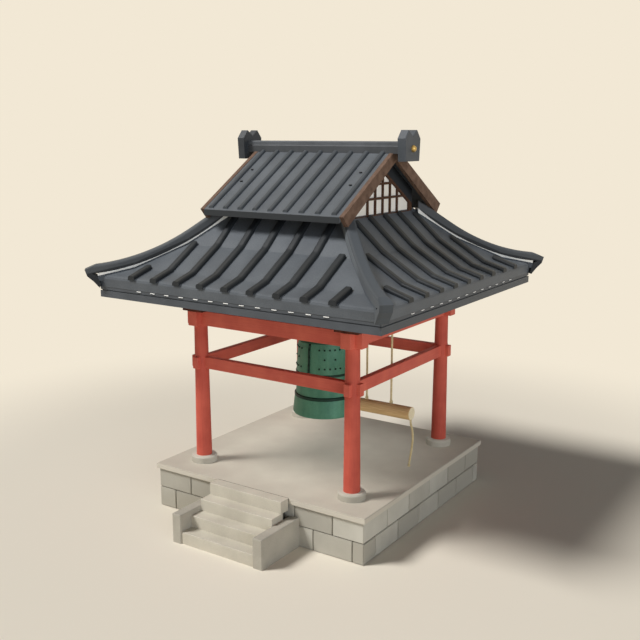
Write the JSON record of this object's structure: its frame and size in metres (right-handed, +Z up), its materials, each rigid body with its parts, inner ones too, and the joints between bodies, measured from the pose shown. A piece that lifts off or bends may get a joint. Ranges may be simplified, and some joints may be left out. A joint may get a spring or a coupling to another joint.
{
  "type": "bell tower",
  "caption": "Open-sided temple bell tower on a stone platform: red posts and beams, curved hip-and-gable roof, hanging bronze bell and a rope-slung striking log.",
  "frame": {"origin": "on the ground at the middle of the square platform", "axes": "+Z up, the steps face -Y, the striking log is on the +X side of the bell, the main ridge runs along X"},
  "size_m": [7.2958, 7.4679, 8.088],
  "materials": {
    "masonry": "dressed granite blocks",
    "paving": "honed stone slab",
    "step_stone": "dressed granite",
    "red_timber": "vermilion painted timber",
    "dark_timber": "dark stained timber",
    "roof_frame_timber": "plain cedar",
    "roof_tile": "smoked grey roof covering",
    "ridge_tile": "smoked dark ridge tile",
    "white_plaster": "white lime plaster",
    "cream_plaster": "cream lime plaster",
    "brown_timber": "brown stained timber",
    "gilt": "gilded boss",
    "bronze": "green patinated bronze",
    "iron": "forged iron",
    "log_wood": "bare pale timber",
    "rope": "twisted hemp"
  },
  "bodies": {
    "tower": {"bargeboards": "brown_timber", "bell_beam": "red_timber", "bell_hanger": "iron", "brackets": "dark_timber", "ceiling": "roof_frame_timber", "columns": "red_timber", "eave_board": "roof_tile", "gable_lattices": "brown_timber", "gable_panels": "cream_plaster", "head_beams_crosswise": "red_timber", "head_beams_lengthwise": "red_timber", "hip_rafters": "roof_frame_timber", "hip_ridges": "ridge_tile", "lower_roof_back": "roof_tile", "lower_roof_front": "roof_tile", "lower_roof_left": "roof_tile", "lower_roof_right": "roof_tile", "main_ridge": "ridge_tile", "platform_floor": "paving", "platform_masonry": "masonry", "plinths": "step_stone", "rafters": "roof_frame_timber", "ridge_bedding": "white_plaster", "ridge_bosses": "gilt", "ridge_ends": "ridge_tile", "roof_frame": "roof_frame_timber", "rope_hooks": "iron", "soffits": "roof_frame_timber", "stair_cheeks": "step_stone", "stair_core": "step_stone", "step_1": "step_stone", "step_2": "step_stone", "step_3": "step_stone", "step_4": "step_stone", "striker_beam": "red_timber", "tie_beams_crosswise": "red_timber", "tie_beams_lengthwise": "red_timber", "upper_roof_back": "roof_tile", "upper_roof_front": "roof_tile", "wall_plate": "red_timber"},
    "bell_body": {"bell": "bronze"},
    "inner_rope_body": {"inner_rope": "rope"},
    "log_body": {"striking_log": "log_wood", "log_eyes": "iron", "pull_rope": "rope", "pull_knot": "rope"},
    "outer_rope_body": {"outer_rope": "rope"}
  },
  "joints": [
    {"name": "bell_swing", "type": "hinge", "parent": "tower", "child": "bell_body", "pos_m": [0, 0, 3.93], "axis": [0, 1, 0], "range_deg": [0, 3]},
    {"name": "rope_swing", "type": "hinge", "parent": "tower", "child": "inner_rope_body", "pos_m": [1.1, 0, 4.2], "axis": [0, 1, 0], "range_deg": [-5.5, 4]},
    {"name": "log_level", "type": "hinge", "parent": "inner_rope_body", "child": "log_body", "pos_m": [1.1, 0, 2.44], "axis": [0, 1, 0], "range_deg": [-4, 5.5]},
    {"name": "outer_rope_swing", "type": "hinge", "parent": "tower", "child": "outer_rope_body", "pos_m": [1.7, 0, 4.2], "axis": [0, 1, 0], "range_deg": [-5.5, 4]}
  ],
  "couplings": [
    {"joint": "log_level", "follows": "rope_swing", "ratio": -1},
    {"joint": "outer_rope_swing", "follows": "rope_swing", "ratio": 1}
  ]
}
